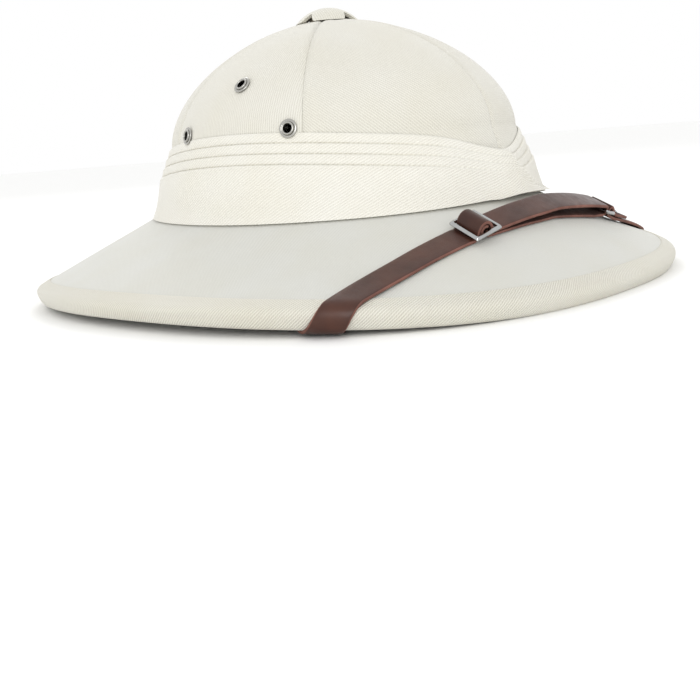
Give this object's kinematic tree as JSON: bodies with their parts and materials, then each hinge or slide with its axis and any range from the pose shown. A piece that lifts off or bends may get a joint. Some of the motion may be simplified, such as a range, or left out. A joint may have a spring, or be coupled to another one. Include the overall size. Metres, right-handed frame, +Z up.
{
  "type": "pith helmet",
  "caption": "White cloth-covered pith helmet with a gored domed crown, vent cap, folded pugaree, sloping bound brim and a leather chin strap laid over the front of the brim.",
  "frame": {"origin": "centre of the bounding box in plan, on the surface that the front and back of the brim rest on", "axes": "+Z up through the crown, +Y towards the back of the helmet, +X towards the wearer's left"},
  "size_m": [0.3132, 0.3358, 0.1458],
  "materials": {
    "crown_cloth": "white cotton twill, matt",
    "pugaree_cloth": "folded white cotton twill, matt",
    "brim_cloth": "fine greyish white cotton cloth, matt",
    "binding_cloth": "white bias-cut cotton twill, matt",
    "cap_cloth": "white cotton twill, matt",
    "collar_cloth": "unbleached brownish grey cloth, matt",
    "nickel": "nickel-plated, polished",
    "strap_leather": "dark brown bridle leather with a soft sheen and reddish cut edges",
    "strap_metal": "bright chrome-plated",
    "anchor_metal": "plain dull steel"
  },
  "bodies": {
    "root": {"crown_gore_front_right": "crown_cloth", "crown_gore_front_left": "crown_cloth", "crown_gore_side_right": "crown_cloth", "crown_gore_side_left": "crown_cloth", "crown_gore_back_right": "crown_cloth", "crown_gore_back_left": "crown_cloth", "pugaree_right": "pugaree_cloth", "pugaree_left": "pugaree_cloth", "brim": "brim_cloth", "brim_binding": "binding_cloth", "vent_cap": "cap_cloth", "vent_collar": "collar_cloth", "vent_eyelet_right_front": "nickel", "vent_eyelet_right_top": "nickel", "vent_eyelet_right_back": "nickel", "vent_eyelet_left_front": "nickel", "vent_eyelet_left_top": "nickel", "vent_eyelet_left_back": "nickel", "chin_strap_long": "strap_leather", "chin_strap_short": "strap_leather", "strap_slider": "strap_metal", "strap_ring": "strap_metal", "strap_rivet_1": "strap_metal", "strap_rivet_2": "strap_metal", "strap_anchor_right": "anchor_metal", "strap_anchor_left": "anchor_metal"}
  },
  "joints": []
}
